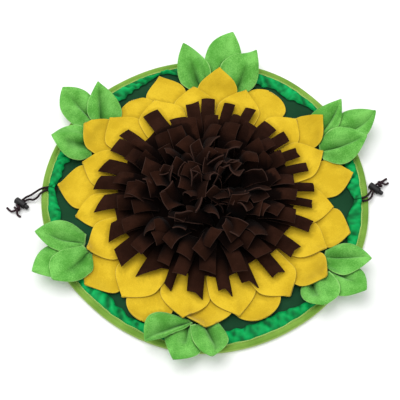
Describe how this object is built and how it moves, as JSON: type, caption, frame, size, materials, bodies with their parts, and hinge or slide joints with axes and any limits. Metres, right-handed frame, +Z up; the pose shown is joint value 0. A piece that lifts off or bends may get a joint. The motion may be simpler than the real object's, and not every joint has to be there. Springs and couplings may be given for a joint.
{
  "type": "snuffle mat",
  "caption": "Round sunflower snuffle mat: two rings of felt petals and six leaf clusters round a heap of felt strips, with a ruffled drawstring edge and cord locks.",
  "frame": {"origin": "middle of the base cloth's underside, on the surface that the mat lies on", "axes": "+Z up, away from that surface; the two cord locks are at -X and +X"},
  "size_m": [0.589, 0.5624, 0.0835],
  "materials": {
    "base_cloth": "matt woven",
    "binding": "matt woven tape",
    "casing": "satin",
    "petal_felt": "matt fleece felt",
    "leaf_felt": "matt fleece felt",
    "strip_felt": "matt fleece felt",
    "cord": "braided",
    "lock_plastic": "satin"
  },
  "bodies": {
    "mat": {"base_cloth": "base_cloth", "edge_binding": "binding", "casing_back": "casing", "casing_front": "casing", "petal_outer_01": "petal_felt", "petal_outer_03": "petal_felt", "petal_outer_05": "petal_felt", "petal_outer_08": "petal_felt", "petal_outer_10": "petal_felt", "petal_outer_12": "petal_felt", "petal_outer_06": "petal_felt", "petal_outer_11": "petal_felt", "petal_outer_14": "petal_felt", "leaf_top_2": "leaf_felt", "leaf_top_1": "leaf_felt", "leaf_top_3": "leaf_felt", "leaf_upper_right_2": "leaf_felt", "leaf_upper_right_1": "leaf_felt", "leaf_upper_right_3": "leaf_felt", "leaf_lower_right_2": "leaf_felt", "leaf_lower_right_1": "leaf_felt", "leaf_lower_right_3": "leaf_felt", "leaf_bottom_2": "leaf_felt", "leaf_bottom_1": "leaf_felt", "leaf_bottom_3": "leaf_felt", "leaf_lower_left_2": "leaf_felt", "leaf_lower_left_1": "leaf_felt", "leaf_lower_left_3": "leaf_felt", "leaf_upper_left_2": "leaf_felt", "leaf_upper_left_3": "leaf_felt", "leaf_upper_left_1": "leaf_felt", "petal_outer_02": "petal_felt", "petal_outer_04": "petal_felt", "petal_outer_07": "petal_felt", "petal_outer_09": "petal_felt", "petal_outer_13": "petal_felt", "petal_inner_15": "petal_felt", "petal_inner_02": "petal_felt", "petal_inner_04": "petal_felt", "petal_inner_07": "petal_felt", "petal_inner_10": "petal_felt", "petal_inner_13": "petal_felt", "petal_inner_05": "petal_felt", "petal_inner_09": "petal_felt", "petal_inner_11": "petal_felt", "petal_inner_01": "petal_felt", "petal_inner_14": "petal_felt", "petal_inner_03": "petal_felt", "petal_inner_06": "petal_felt", "petal_inner_08": "petal_felt", "petal_inner_12": "petal_felt", "strip_pile": "strip_felt", "lock_barrel_left": "lock_plastic", "cord_left_a": "cord", "cord_left_b": "cord", "lock_barrel_right": "lock_plastic", "cord_right_a": "cord", "cord_right_b": "cord"},
    "button_left": {"lock_button_left": "lock_plastic"},
    "button_right": {"lock_button_right": "lock_plastic"}
  },
  "joints": [
    {"name": "press_left", "type": "slide", "parent": "mat", "child": "button_left", "axis": [-0.807, 0.5906, 0], "range_m": [0, 0.003], "stiffness_N_per_m": 150, "springref_m": -0.002},
    {"name": "press_right", "type": "slide", "parent": "mat", "child": "button_right", "axis": [-0.7547, 0.6561, 0], "range_m": [0, 0.003], "stiffness_N_per_m": 150, "springref_m": -0.002}
  ]
}
